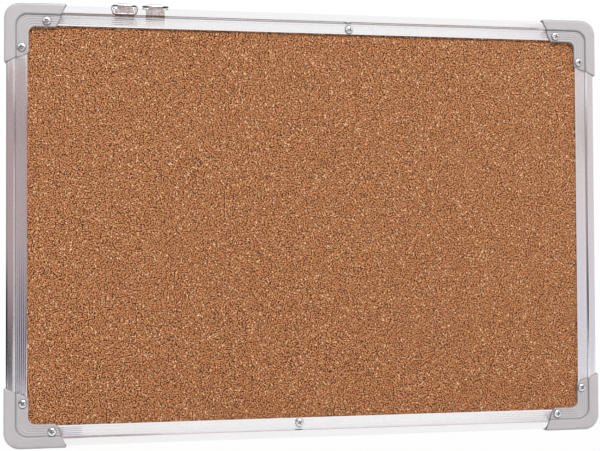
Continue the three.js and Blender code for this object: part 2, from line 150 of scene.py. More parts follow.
def feed(material, links):
    """Links each value to the socket of that name on the material's Principled shader."""
    tree = material.node_tree
    for socket, tone in links.items():
        tree.links.new(tone.socket, tree.nodes["Principled BSDF"].inputs[socket])


def noise(place, scale, detail=2.0, roughness=0.5):
    """Soft noise from 0 to 1 with this many waves to the metre."""
    sockets = {"Vector": place, "Scale": scale, "Detail": detail, "Roughness": roughness}
    return place.node("ShaderNodeTexNoise", {}, sockets)


def cells(place, size, output="Color", kind="3D"):
    """Random cells of about this size: a random colour in each, or the distance from its middle in sizes."""
    sockets = {"Vector": place, "Scale": 1 / size}
    return place.node("ShaderNodeTexVoronoi", {"voronoi_dimensions": kind}, sockets, output)


def stretched(place, along_x, along_y, along_z):
    """Coordinates multiplied by a number along each axis."""
    return place.vector("MULTIPLY", {0: place, 1: (along_x, along_y, along_z)})


def channel(colour, name="Red"):
    """One part of a colour, as one of the random numbers of a cell."""
    return colour.node("ShaderNodeSeparateColor", {}, {0: colour}, name)


def between(value, low, high):
    """How far a value has come from low to high, eased and held from 0 to 1."""
    settings = {"interpolation_type": "SMOOTHSTEP"}
    return value.node("ShaderNodeMapRange", settings, {"Value": value, "From Min": low, "From Max": high})


def mixed(share, first, second):
    """The first colour giving way to the second as share goes from 0 to 1."""
    return share.node("ShaderNodeMix", {"data_type": "RGBA"}, {0: share, 6: first, 7: second}, 2)


def bump(height, strength, distance):
    """A surface normal bent by a height."""
    sockets = {"Strength": strength, "Distance": distance, "Height": height}
    return height.node("ShaderNodeBump", {}, sockets, "Normal")


def finish_node(name, material):
    """Gives a CAD node this material."""
    frame["nodes"][name].material_slots[0].material = material


galvanised, place = new_finish("galvanised_sheet", {"Metallic": 1.0})
sockets = {"Vector": place, "Scale": WANDER_WAVES, "Detail": 3.0}
wander = place.node("ShaderNodeTexNoise", {}, sockets, "Color")
wandering = place.vector("ADD", {0: place, 1: wander.vector("SCALE", {0: wander, "Scale": SPANGLE_WANDER})})
spangle = channel(cells(wandering, SPANGLE))
frost = noise(place, FROST_WAVES, detail=4.0, roughness=0.65)
rubs = between(noise(stretched(place, *RUB_STRETCH), RUB_WAVES, detail=4.0, roughness=0.6), *RUBBED)
feed(galvanised, {
    "Base Color": mixed(spangle * 0.75 + frost * 0.25, ZINC_DARK, ZINC_PALE),
    "Roughness": 0.34 + 0.16 * spangle + 0.12 * frost + 0.06 * rubs,
    "Normal": bump(spangle * 0.5 + frost * 0.3, strength=0.12, distance=0.2 * MM),
})
finish_node("back_panel", galvanised)

# Core: six millimetres of pressed fibre board between the sheet and the cork. It fills the channel of the
# rails and takes the points of the screws.
STRAND_WAVES = 260.0
STRAND_STRETCH = (1.0, 9.0, 1.0)
FLECK = 1.8 * MM
FIBRE_DARK = (0.20, 0.125, 0.065, 1)
FIBRE_PALE = (0.42, 0.29, 0.17, 1)

fibre_board, place = new_finish("pressed_fibre", {"Specular IOR Level": 0.2})
strands = noise(stretched(place, *STRAND_STRETCH), STRAND_WAVES, detail=6.0, roughness=0.7)
flecks = channel(cells(place, FLECK))
feed(fibre_board, {
    "Base Color": mixed(strands * 0.7 + flecks * 0.3, FIBRE_DARK, FIBRE_PALE),
    "Roughness": 0.78 + 0.16 * strands,
    "Normal": bump(strands + flecks, strength=0.3, distance=0.15 * MM),
})
finish_node("core_board", fibre_board)

# Cork facing: granulated cork pressed with a binder into a block, sliced into a sheet and glued to the
# core. Dark bark, brown and pale tan granules meet at dark seams, and the face is open and a little uneven.
CORK_COLUMNS = 360
CORK_ROWS = 252
CORK_GRAIN = 0.045 * MM
CORK_PIT = 0.13 * MM
CORK_SWELL = 0.05 * MM
CORK_WAVE = 61 * MM
SWELL_BEND = 1.3
SWELL_CROSSING = 1.7
CORK_SEED = 11
SMOOTH_UNDER = np.radians(40)
GRANULE = 0.96 * MM
GRANULE_EDGE = 0.72
CRUMB = 0.36 * MM
FLAKE = 1.1 * MM
FLAKE_EDGE = (0.42, 0.5)
BARK_ABOVE = (0.955, 0.96)
FRESH_ABOVE = (0.96, 0.965)
CLOUD_WAVES = 34.0
CLOUDED = (0.25, 0.8)
BARK = (0.008, 0.002, 0.001, 1)
FRESH_CUT = (1.0, 0.76, 0.5, 1)
CLOUD = (0.46, 0.2, 0.09, 1)
SEAM_TO_HEART = [
    (0.14, (0.003, 0.001, 0.0005, 1)),
    (0.28, (0.016, 0.0028, 0.0009, 1)),
    (0.40, (0.067, 0.0122, 0.0022, 1)),
    (0.52, (0.175, 0.046, 0.012, 1)),
    (0.64, (0.350, 0.120, 0.042, 1)),
    (0.76, (0.590, 0.244, 0.101, 1)),
    (0.88, (0.860, 0.465, 0.232, 1)),
]


def grid_quads(rows, columns):
    """The quads of a grid of points, counted row by row."""
    corner = (np.arange(rows - 1)[:, None] * columns + np.arange(columns - 1)).reshape(-1, 1)
    return corner + np.array([0, 1, columns + 1, columns])


def placed(name, data):
    """An object of this data, in the scene."""
    made = bpy.data.objects.new(name, data)
    bpy.context.scene.collection.objects.link(made)
    return made


def add_piece(name, points, faces, material, body, node):
    """A smooth mesh with sharp edges kept, that rides on a body in place of a CAD node."""
    mesh = bpy.data.meshes.new(name)
    mesh.from_pydata(points.reshape(-1, 3), [], faces)
    mesh.shade_smooth()
    mesh.set_sharp_from_angle(angle=SMOOTH_UNDER)
    mesh.materials.append(material)
    piece = placed(name, mesh)
    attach(piece, body)
    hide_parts(node)
    return piece


def cork_front(low, high):
    """The face as a grid over X and Z: its level is the sheet's front, with two crossed slow waves for its
    swell, and at each point a random grain that stands a little proud or opens into a deeper pit."""
    chance = np.random.default_rng(CORK_SEED)
    x, z = np.meshgrid(np.linspace(low.x, high.x, CORK_COLUMNS), np.linspace(low.z, high.z, CORK_ROWS))
    bent = x / CORK_WAVE + SWELL_BEND * np.sin(z / CORK_WAVE)
    swell = np.sin(bent) * np.cos(SWELL_CROSSING * z / CORK_WAVE)
    grain = chance.normal(size=x.shape)
    lift = CORK_SWELL * swell + np.clip(CORK_GRAIN * grain, -CORK_PIT, CORK_GRAIN)
    return np.stack([x, low.y - lift, z], axis=-1)


def coordinate(vector, axis):
    """One coordinate of a vector."""
    return vector.node("ShaderNodeSeparateXYZ", {}, {0: vector}, axis)


def between_straight(value, low, high):
    """How far a value has come from low to high, held from 0 to 1."""
    return value.node("ShaderNodeMapRange", {}, {"Value": value, "From Min": low, "From Max": high})


low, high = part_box("cork_sheet")
front = cork_front(low, high)
count = CORK_COLUMNS * CORK_ROWS
back_corners = ((low.x, low.z), (high.x, low.z), (high.x, high.z), (low.x, high.z))
back = np.array([[x, high.y, z] for x, z in back_corners])
index = np.arange(count).reshape(CORK_ROWS, CORK_COLUMNS)
borders = (index[0], index[:, -1], index[-1, ::-1], index[::-1, 0])
faces = grid_quads(CORK_ROWS, CORK_COLUMNS).tolist()
for side, border in enumerate(borders):
    faces.append([*border[::-1].tolist(), count + side, count + (side + 1) % 4])
faces.append([count + 3, count + 2, count + 1, count])
points = np.vstack([front.reshape(-1, 3), back])

cork, place = new_finish("granulated_cork", {"Specular IOR Level": 0.15})
across_face = {"X": coordinate(place, "X"), "Y": coordinate(place, "Z")}
sliced = place.node("ShaderNodeCombineXYZ", {}, across_face)
granule = channel(cells(sliced, GRANULE, kind="2D"))
crumb = channel(cells(place, CRUMB))
from_heart = between_straight(cells(sliced, GRANULE, "Distance", "2D"), 0.0, GRANULE_EDGE)
heart = 1 - from_heart * from_heart
flake = cells(sliced, FLAKE, kind="2D")
whole = 1 - between(cells(sliced, FLAKE, "Distance", "2D"), *FLAKE_EDGE)
bark = whole * between(channel(flake), *BARK_ABOVE)
fresh = whole * between(channel(flake, "Green"), *FRESH_ABOVE)
cloud = between(noise(place, CLOUD_WAVES, detail=3.0), *CLOUDED)
grey = heart * 0.76 + granule * 0.15 + crumb * 0.09
tan = grey.node("ShaderNodeValToRGB", {"stops": SEAM_TO_HEART}, {0: grey})
flaked = mixed(bark * 0.95, mixed(fresh * 0.9, tan, FRESH_CUT), BARK)
feed(cork, {
    "Base Color": mixed(cloud * 0.06, flaked, CLOUD),
    "Roughness": 0.82 + 0.14 * crumb,
    "Normal": bump(grey, strength=0.24, distance=0.2 * MM),
})
add_piece("cork_facing", points, faces, cork, "board", "cork_sheet")

# Rails: four lengths of one aluminium extrusion, left bright from the die. Each is a channel that grips
# the edge of the panel, with a lip and five ribs beside the cork, then a sloped step and a smooth raised
# band. The corner caps and two screws hold them to the panel.
rail_low, rail_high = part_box("rail_top")
WINDOW_TOP = rail_low.z
WINDOW_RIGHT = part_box("rail_right")[0].x
RAIL_FACE = rail_high.z - rail_low.z
RAIL_REACHES = ((rail_high.x, WINDOW_TOP), (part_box("rail_right")[1].z, WINDOW_RIGHT))
CORK_FRONT = -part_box("cork_sheet")[0].y
BAND_FRONT = -rail_low.y
RAIL_BACK = -rail_high.y
FIT_GAP = 0.3 * MM
FLANGE_BACK = CORK_FRONT + FIT_GAP
FLANGE = 1.3 * MM
RAIL_WALL = 1.3 * MM
RIB_ZONE = 9.1 * MM
STEP_RUN = 1.3 * MM
RAIL_EDGE = 2.2 * MM
BACK_FLANGE = 8.6 * MM
LIP_WIDTH = 1.4 * MM
RIB_COUNT = 5
RIB_PITCH = 1.53 * MM
RIB_TOP = 0.12 * MM
RIB_FOOT = 1.4 * MM
RIB_HEIGHT = 0.4 * MM
RIB_ROUND = 0.14 * MM
LIP_ROUND = 0.22 * MM
STEP_ROUND = 0.45 * MM
BACK_ROUND = 0.5 * MM
FLANGE_SPLIT = 0.06 * MM
RIB_FLOOR = FLANGE_BACK + FLANGE
RIB_CREST = RIB_FLOOR + RIB_HEIGHT
STEP_SLOPE = STEP_RUN / (BAND_FRONT - RIB_FLOOR)
RAIL_STATIONS = 48
ARC_STEPS = 5
ARC_LEG_SHARE = 0.48
SIDES = ("top", "right", "bottom", "left")
DIE_LINE_WAVES = (1.5, 9000.0, 1.0)
DIE_BAND_WAVES = (1.0, 700.0, 1.0)
HANDLING_WAVES = (40.0, 240.0, 1.0)
LINE_SWAY = 0.25
BAND_SWAY = 0.12
ALUMINIUM_DARK = (0.86, 0.845, 0.855, 1)
ALUMINIUM_PALE = (0.97, 0.96, 0.965, 1)
# Painted shade: a dark line along the foot of the rail's step. It is strongest on the top and right rails, a
# little lighter on the left rail and left off the bottom rail, whose step faces up.
STEP_FOOT_SHADE = (0.25, 0.24, 0.245, 1)
FOOT_SHADE_CORE = 0.15 * MM
FOOT_SHADE_REACH = 0.7 * MM
FOOT_SHADE_COVER = 0.5
FOOT_SHADE_BY_SIDE = {"top": 1.0, "right": 1.0, "bottom": 0.0, "left": 0.8}


def unit(vectors):
    """Vectors divided by their lengths."""
    return vectors / np.linalg.norm(vectors, axis=-1, keepdims=True)


def rounded(corners, steps=ARC_STEPS):
    """An open outline of (out, level, radius) corners, each swapped for points on the arc that touches both
    legs: its ends lie radius / tan(half the angle) along them, and its points turn evenly."""
    corners = np.array(corners)
    at = corners[1:-1, :2]
    legs = np.stack([corners[:-2, :2] - at, corners[2:, :2] - at])
    length = np.linalg.norm(legs, axis=2, keepdims=True)
    legs = legs / length
    half = np.arccos(np.clip((legs[0] * legs[1]).sum(axis=1, keepdims=True), -1, 1)) / 2
    touch = np.minimum(corners[1:-1, 2:] / np.tan(half), ARC_LEG_SHARE * length.min(axis=0))
    centre = at + unit(legs[0] + legs[1]) * touch / np.cos(half)
    spokes = at + legs * touch - centre
    turn = np.pi - 2 * half[:, :, None]
    share = np.linspace(0, 1, steps)[None, :, None]
    arcs = np.sin((1 - share) * turn) * spokes[0][:, None] + np.sin(share * turn) * spokes[1][:, None]
    arcs = centre[:, None] + arcs / np.sin(turn)
    return np.vstack([corners[:1, :2], arcs.reshape(-1, 2), corners[-1:, :2]])


def refined(line, longest):
    """A line with even extra points, so that no run of it is longer than this."""
    runs = np.diff(line, axis=0)
    pieces = np.ceil(np.linalg.norm(runs, axis=1) / longest).astype(int)
    run = np.repeat(np.arange(len(runs)), pieces)
    step = np.arange(len(run)) - np.repeat(np.cumsum(pieces) - pieces, pieces)
    return np.vstack([line[run] + runs[run] * (step / pieces[run])[:, None], line[-1:]])


def travelled(line):
    """The distance gone along a line at each of its points."""
    return np.append(0.0, np.cumsum(np.linalg.norm(np.diff(line, axis=0), axis=1)))


def reached(line, marks):
    """The distance gone along a line at its nearest point to each of these marks."""
    nearest = np.linalg.norm(line[None] - np.array(marks)[:, None], axis=2).argmin(axis=1)
    return travelled(line)[nearest]


def inner_line(outer, pairs):
    """The inside of a wall, point for point with its outside: a straight line between the inner corners
    that are paired with outer ones, in step with the distance gone along the outside."""
    pairs = np.array(pairs)
    corners_at = reached(outer, pairs[:, :2])
    return np.stack([np.interp(travelled(outer), corners_at, inner) for inner in pairs[:, 2:].T], axis=1)


def rib_corners(middles, top, foot, floor, crest):
    """The four corners of each rib, at half the widths of its top and foot to both sides of its middle."""
    sides = ((-foot / 2, floor), (-top / 2, crest), (top / 2, crest), (foot / 2, floor))
    return [(middle + across, level, RIB_ROUND) for middle in middles for across, level in sides]


def ring_quads(stations, points):
    """The quads round a ring of points carried along stations: a grid whose last column is its first."""
    row, column = np.divmod(grid_quads(stations, points + 1), points + 1)
    return row * points + column % points


def carried_faces(stations, points):
    """Faces of a closed outline carried along stations: quads round it, and at both ends quads between its
    front half and its back half, which runs the other way."""
    around = ring_quads(stations, points)[:, ::-1]
    front = np.arange(points // 2 - 1)[:, None]
    end = np.hstack([front, front + 1, points - 2 - front, points - 1 - front])
    return np.vstack([around, end, end[:, ::-1] + (stations - 1) * points]).tolist()


def turned(points, quarters):
    """Points turned about Y by quarter turns: the top goes to the right, the bottom and then the left."""
    x, y, z = np.moveaxis(points, -1, 0)
    for _ in range(quarters):
        x, z = z, -x
    return np.stack([x, y, z], axis=-1)


def rail_outline():
    """The outside from the lip's root over the lip, ribs, step and band, down the outer wall to the edge of
    the back flange, and then the inside back to the root."""
    back_edge = RAIL_FACE - BACK_FLANGE
    middles = LIP_WIDTH / 2 + RIB_PITCH * np.arange(1, RIB_COUNT + 1)
    outer = refined(rounded([
        (0, FLANGE_BACK, 0),
        (0, RIB_CREST, LIP_ROUND),
        (LIP_WIDTH, RIB_CREST, LIP_ROUND),
        (LIP_WIDTH, RIB_FLOOR, RIB_ROUND),
        *rib_corners(middles, RIB_TOP, RIB_FOOT, RIB_FLOOR, RIB_CREST),
        (RIB_ZONE, RIB_FLOOR, RIB_ROUND),
        (RIB_ZONE + STEP_RUN, BAND_FRONT, STEP_ROUND),
        (RAIL_FACE, BAND_FRONT, RAIL_EDGE),
        (RAIL_FACE, RAIL_BACK, BACK_ROUND),
        (back_edge, RAIL_BACK, BACK_ROUND),
        (back_edge, RAIL_BACK + RAIL_WALL - FLANGE_SPLIT, 0),
    ]), RIB_PITCH)
    inside = RAIL_FACE - RAIL_WALL
    tilt = RAIL_WALL * np.hypot(1, STEP_SLOPE)
    foot = RIB_ZONE + (FLANGE_BACK + RAIL_WALL - RIB_FLOOR) * STEP_SLOPE + tilt
    inner = inner_line(outer, [
        (0, FLANGE_BACK, FLANGE_SPLIT * 2, FLANGE_BACK),
        (RIB_ZONE, RIB_FLOOR, foot, FLANGE_BACK),
        (RIB_ZONE + STEP_RUN, BAND_FRONT, RIB_ZONE + STEP_RUN + tilt, BAND_FRONT - RAIL_WALL),
        (RAIL_FACE - RAIL_EDGE, BAND_FRONT, RAIL_FACE - RAIL_EDGE, BAND_FRONT - RAIL_WALL),
        (RAIL_FACE, BAND_FRONT - RAIL_EDGE, inside, BAND_FRONT - RAIL_EDGE),
        (RAIL_FACE, RAIL_BACK, inside, RAIL_BACK + RAIL_WALL),
        (back_edge, RAIL_BACK + RAIL_WALL, back_edge, RAIL_BACK + RAIL_WALL),
    ])
    return np.vstack([outer, inner[::-1]])


def carried_rail(outline, half, window):
    """The outline carried along X as on the top rail: out goes up from the window, and level forward."""
    along = np.linspace(-half, half, RAIL_STATIONS)
    along, out = np.meshgrid(along, outline[:, 0], indexing="ij")
    level = np.broadcast_to(outline[:, 1], out.shape)
    return np.stack([along, -level, window + out], axis=-1)


def name_points(piece, name, vectors):
    """Keeps a vector at each point of the mesh, for its material."""
    kept = piece.data.attributes.new(name, "FLOAT_VECTOR", "POINT")
    kept.data.foreach_set("vector", vectors.astype(np.float32).ravel())


def named(place, name, output="Vector"):
    """What the points of the mesh keep under this name, as a vector or as one number."""
    return place.node("ShaderNodeAttribute", {"attribute_name": name}, {}, output)


outline = rail_outline()
foot_at = reached(outline, [(RIB_ZONE, RIB_FLOOR)])[0]

aluminium, place = new_finish("bright_extruded_aluminium", {"Metallic": 1.0})
on_rail = named(place, "along_across")
facing = place.node("ShaderNodeNewGeometry", {}, {}, "Normal")
across = place.vector("CROSS_PRODUCT", {0: facing, 1: named(place, "rail_axis")})
die_lines = noise(stretched(on_rail, *DIE_LINE_WAVES), 1.0, detail=2.0, roughness=0.6)
die_bands = noise(stretched(on_rail, *DIE_BAND_WAVES), 1.0, detail=2.0, roughness=0.5)
handling = noise(stretched(on_rail, *HANDLING_WAVES), 1.0, detail=4.0, roughness=0.6)
sway = (die_lines - 0.5) * LINE_SWAY + (die_bands - 0.5) * BAND_SWAY
bent = place.vector("ADD", {0: facing, 1: across.vector("SCALE", {0: across, "Scale": sway})})
# Painted shade at the foot of the step, scaled by how much each rail gets: a darker colour and a rougher
# surface there.
from_foot = coordinate(on_rail, "Y") - foot_at
off_foot = between(from_foot.maths("ABSOLUTE", from_foot, 0.0), FOOT_SHADE_CORE, FOOT_SHADE_REACH)
foot_shade = coordinate(on_rail, "Z") * (1 - off_foot)
metal = mixed(die_bands * 0.6 + die_lines * 0.4, ALUMINIUM_DARK, ALUMINIUM_PALE)
feed(aluminium, {
    "Base Color": mixed(foot_shade * FOOT_SHADE_COVER, metal, STEP_FOOT_SHADE),
    "Roughness": 0.1 + 0.08 * die_bands + 0.08 * handling + 0.2 * foot_shade,
    "Normal": bent.vector("NORMALIZE", {0: bent}),
})

rail_faces = carried_faces(RAIL_STATIONS, len(outline))
for quarter, side in enumerate(SIDES):
    half, window = RAIL_REACHES[quarter % 2]
    straight = carried_rail(outline, half, window)
    points = turned(straight, quarter)
    node = f"rail_{side}"
    rail = add_piece(f"{node}_extrusion", points, rail_faces, aluminium, "board", node)
    # A metre further along for each rail, so that no two show the same stretch of the pattern.
    along = straight[..., 0] + quarter
    run = np.broadcast_to(travelled(outline), along.shape)
    # The third part is how much painted shade the rail gets at the foot of its step.
    name_points(rail, "along_across", np.stack([along, run, np.full_like(along, FOOT_SHADE_BY_SIDE[side])], axis=-1))
    axis = turned(np.array([1.0, 0.0, 0.0]), quarter)
    name_points(rail, "rail_axis", np.broadcast_to(axis, straight.shape))

# Corner caps: satin grey plastic mouldings pushed over the rail ends. They repeat the rail's ribs and
# raised band one wall further out, turn the corner with growing radii, and each leg ends in two shallow
# scallops. Two screws hold each.
cap_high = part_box("corner_cap_top_right")[1]
CAP_FACE = cap_high.z - WINDOW_TOP
CAP_FRONT = -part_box("corner_cap_top_right")[0].y
CAP_BACK = -cap_high.y
CAP_WALL = 1.2 * MM
CAP_LIP_EDGE = -1.08 * MM
CAP_LIP_OUT = 0.5 * MM
CAP_RIB_HEIGHT = 0.3 * MM
CAP_RIB_COUNT = 4
CAP_RIB_PITCH = 1.935 * MM
CAP_RIB_TOP = 0.8 * MM
CAP_RIB_FOOT = 1.15 * MM
CAP_STEP_OUT = 8.9 * MM
CAP_STEP_RUN = 0.7 * MM
CAP_STEP_FOOT = CAP_STEP_OUT - CAP_STEP_RUN / 2
CAP_STEP_HEAD = CAP_STEP_OUT + CAP_STEP_RUN / 2
CAP_CREST = RIB_CREST + FIT_GAP + CAP_WALL
CAP_FLOOR = CAP_CREST - CAP_RIB_HEIGHT
CAP_EDGE = 2.4 * MM
CAP_LIP_ROUND = 0.45 * MM
CAP_BACK_FLANGE = 11 * MM
CAP_LEG_OUTER = 30.6 * MM
CAP_LEG_STEP = 26.6 * MM
CAP_LEG_INNER = 22.3 * MM
CAP_SCALLOP_FALL = 0.45
WINDOW_CORNER = 6 * MM
CAP_CORNER = 13 * MM
CAP_FACET = 0.9 * MM
CAP_END_ROUND = 0.7 * MM
CAP_END_STEPS = 5
CAP_LEG_STEPS = 8
CAP_TURN_STEPS = 28
CORNERS = ("top_left", "top_right", "bottom_right", "bottom_left")
CORNER_PLACES = ((-WINDOW_RIGHT, WINDOW_TOP), (-WINDOW_TOP, WINDOW_RIGHT))
MOULD_WAVES = 2600.0
FLOW_WAVES = 55.0
SCUFF_WAVES = 240.0
SCUFF_STRETCH = (1.0, 1.0, 5.0)
SCUFFED = (0.62, 0.78)
PLASTIC_SHADE = (0.46, 0.435, 0.445, 1)
PLASTIC_LIGHT = (0.525, 0.498, 0.51, 1)
# Painted shade: a dark line in the crease at the foot of the step, between the ribs and the raised band.
CREASE_SHADE = (0.12, 0.11, 0.115, 1)
CREASE_SHADE_REACH = 0.6 * MM
CREASE_SHADE_COVER = 0.55


def leg_end(out):
    """How far along its leg a cap reaches at a distance out: two scallops that meet at the step, each a
    straight fall mixed with one that grows as the square."""
    on_band = out >= CAP_STEP_OUT
    start = np.where(on_band, CAP_LEG_OUTER, CAP_LEG_STEP)
    end = np.where(on_band, CAP_LEG_STEP, CAP_LEG_INNER)
    from_out = np.where(on_band, CAP_FACE, CAP_STEP_OUT)
    to_out = np.where(on_band, CAP_STEP_OUT, CAP_LIP_EDGE)
    share = (from_out - out) / (from_out - to_out)
    return start - (start - end) * (CAP_SCALLOP_FALL * share + (1 - CAP_SCALLOP_FALL) * share**2)


def cap_outline():
    """The outside from the lip's root over the lip, ribs, step and band, down the outer wall to the edge of
    the back flange, and then the inside back to the root."""
    back_edge = CAP_FACE - CAP_BACK_FLANGE
    middles = (CAP_LIP_EDGE + CAP_LIP_OUT) / 2 + CAP_RIB_PITCH * np.arange(1, CAP_RIB_COUNT + 1)
    outer = refined(rounded([
        (CAP_LIP_EDGE, FLANGE_BACK, 0),
        (CAP_LIP_EDGE, CAP_CREST, CAP_LIP_ROUND),
        (CAP_LIP_OUT, CAP_CREST, RIB_ROUND),
        (CAP_LIP_OUT, CAP_FLOOR, RIB_ROUND),
        *rib_corners(middles, CAP_RIB_TOP, CAP_RIB_FOOT, CAP_FLOOR, CAP_CREST),
        (CAP_STEP_FOOT, CAP_FLOOR, RIB_ROUND),
        (CAP_STEP_HEAD, CAP_FRONT, STEP_ROUND),
        (CAP_FACE, CAP_FRONT, CAP_EDGE),
        (CAP_FACE, CAP_BACK, BACK_ROUND),
        (back_edge, CAP_BACK, BACK_ROUND),
        (back_edge, CAP_BACK + CAP_WALL - FLANGE_SPLIT, 0),
    ]), CAP_FACET)
    inside = CAP_FACE - CAP_WALL
    skin = CAP_CREST - CAP_WALL
    band = CAP_FRONT - CAP_WALL
    lip_inside = -FIT_GAP
    inner = inner_line(outer, [
        (CAP_LIP_EDGE, FLANGE_BACK, lip_inside, FLANGE_BACK),
        (CAP_LIP_EDGE, CAP_CREST, lip_inside, skin),
        (CAP_STEP_FOOT, CAP_FLOOR, CAP_STEP_FOOT, skin),
        (CAP_STEP_HEAD, CAP_FRONT, RIB_ZONE + STEP_RUN, band),
        (CAP_FACE - CAP_EDGE, CAP_FRONT, CAP_FACE - CAP_EDGE, band),
        (CAP_FACE, CAP_FRONT - CAP_EDGE, inside, CAP_FRONT - CAP_EDGE),
        (CAP_FACE, CAP_BACK, inside, CAP_BACK + CAP_WALL),
        (back_edge, CAP_BACK + CAP_WALL, back_edge, CAP_BACK + CAP_WALL),
    ])
    return np.vstack([outer, inner[::-1]])


def outward(outline):
    """Unit normals of a closed outline, from the run between the neighbours of each point."""
    run = unit(np.roll(outline, -1, axis=0) - np.roll(outline, 1, axis=0))
    return np.stack([-run[:, 1], run[:, 0]], axis=1)


def carried_cap(outline):
    """The outline carried up one leg, round the corner and along the other, as it lies at the top left from
    the window's corner. At a distance out, it turns about a centre of its own, with a radius that grows
    from the window's to the cap's. Near each end it sinks along its normals in a quarter circle."""
    bend = np.linspace(0, np.pi / 2, CAP_END_STEPS)
    end_sink = CAP_END_ROUND * (1 - np.sin(bend))
    end_back = CAP_END_ROUND * (1 - np.cos(bend))
    legs = np.linspace(1, 0, CAP_LEG_STEPS, endpoint=False)[1:]
    ends = np.ones(CAP_END_STEPS)
    turns = np.linspace(0, np.pi / 2, CAP_TURN_STEPS)
    share = np.concatenate([ends, legs, 0 * turns, legs[::-1], ends])[:, None]
    pull = np.concatenate([end_back, 0 * legs, 0 * turns, 0 * legs, end_back[::-1]])[:, None]
    sink = np.concatenate([end_sink, 0 * legs, 0 * turns, 0 * legs, end_sink[::-1]])[:, None, None]
    angle = np.concatenate([0 * ends, 0 * legs, turns, 0 * legs + np.pi / 2, ends * np.pi / 2])[:, None]
    across = (np.arange(len(share)) >= len(share) / 2)[:, None]
    out, level = np.moveaxis(outline[None] - sink * outward(outline)[None], -1, 0)
    radius = WINDOW_CORNER + (CAP_CORNER - WINDOW_CORNER) * out / CAP_FACE
    centre = radius - out
    leg = (leg_end(outline[:, 0])[None] - centre) * share - pull
    x = centre - radius * np.cos(angle) + across * leg
    z = radius * np.sin(angle) - centre - ~across * leg
    return np.stack([x, -level, z], axis=-1)


plastic, place = new_finish("satin_grey_plastic", {"Specular IOR Level": 0.6})
mould_grain = noise(place, MOULD_WAVES, detail=3.0, roughness=0.6)
flow = noise(place, FLOW_WAVES, detail=3.0)
scuff = noise(stretched(place, *SCUFF_STRETCH), SCUFF_WAVES, detail=5.0, roughness=0.7)
crease_shade = named(place, "dull", "Fac")
moulded = mixed(flow * 0.7 + mould_grain * 0.3, PLASTIC_SHADE, PLASTIC_LIGHT)
feed(plastic, {
    "Base Color": mixed(crease_shade * CREASE_SHADE_COVER, moulded, CREASE_SHADE),
    "Roughness": 0.28 + 0.1 * mould_grain + 0.12 * between(scuff, *SCUFFED) + 0.2 * crease_shade,
    "Normal": bump(mould_grain + flow * 0.4, strength=0.12, distance=0.05 * MM),
})

outline = cap_outline()
at_corner = carried_cap(outline)
foot_at = reached(outline, [(CAP_STEP_FOOT, CAP_FLOOR)])[0]
# How much painted shade each point of the outline gets: most in the crease at the foot of the step, fading
# to either side.
in_crease = np.exp(-(((travelled(outline) - foot_at) / CREASE_SHADE_REACH) ** 2))
cap_faces = carried_faces(len(at_corner), len(outline))
for quarter, corner in enumerate(CORNERS):
    start, height = CORNER_PLACES[quarter % 2]
    points = turned(at_corner + np.array([start, 0, height]), quarter)
    node = f"corner_cap_{corner}"
    cap = add_piece(f"{node}_moulding", points, cap_faces, plastic, "board", node)
    name_points(cap, "dull", np.broadcast_to(in_crease[None, :, None], points.shape))

# Screws: zinc-plated pan heads with a cross recess, two through each cap and one more through the top and
# the bottom rail. Each has a cold-headed dome, a tapered recess and a rolled thread.
HEAD_RADIUS = 3.5 * MM
HEAD_HEIGHT = 2.2 * MM
HEAD_RIM = 0.5 * MM
RIM_ROUND = 0.42 * MM
SHANK_RADIUS = 1.35 * MM
THREAD_DEPTH = 0.3 * MM
THREAD_PITCH = 1.3 * MM
THREAD_STEEPNESS = 5
SHANK_TOP = -0.02 * MM
POINT_LENGTH = 1.6 * MM
TIP_RADIUS = 0.08 * MM
CROSS_REACH = 1.8 * MM
CROSS_HALF = 0.52 * MM
CROSS_DEPTH = 1.3 * MM
CROSS_TAPER = 0.62
CROSS_LIP = 0.1 * MM
RECESS_LEDGE = 0.05 * MM
RECESS_SINKS = (0.1, 0.5, 1.0)
SCREW_ANGLES = 80
SHANK_RINGS = 72
RIM_RINGS = 4
DOME_RINGS = 14
DOME_CROWDING = 1.25
# Painted shade on the screws: nearly black in the cross recess, and a painted contact shadow round the rim
# and under it that fades up the dome.
RIM_SHADE_SHARE = 0.3
RECESS_SHADE = 0.7
PLATING_WAVES = 1400.0
DRIVER_WAVES = 420.0
ZINC_SHADOW = (0.66, 0.665, 0.68, 1)
ZINC_BRIGHT = (0.9, 0.905, 0.915, 1)
ZINC_PAINTED_SHADE = (0.045, 0.045, 0.05, 1)
SCREW_TURN = 2.4


def cross_radius(angle):
    """Distance from the middle to the edge of a cross at an angle: the further of its two bars, each the
    nearer of its end and its side. No angle lies along a bar."""
    across = np.abs(np.cos(angle))
    along = np.abs(np.sin(angle))
    level_bar = np.minimum(CROSS_REACH / across, CROSS_HALF / along)
    upright_bar = np.minimum(CROSS_REACH / along, CROSS_HALF / across)
    return np.maximum(level_bar, upright_bar)


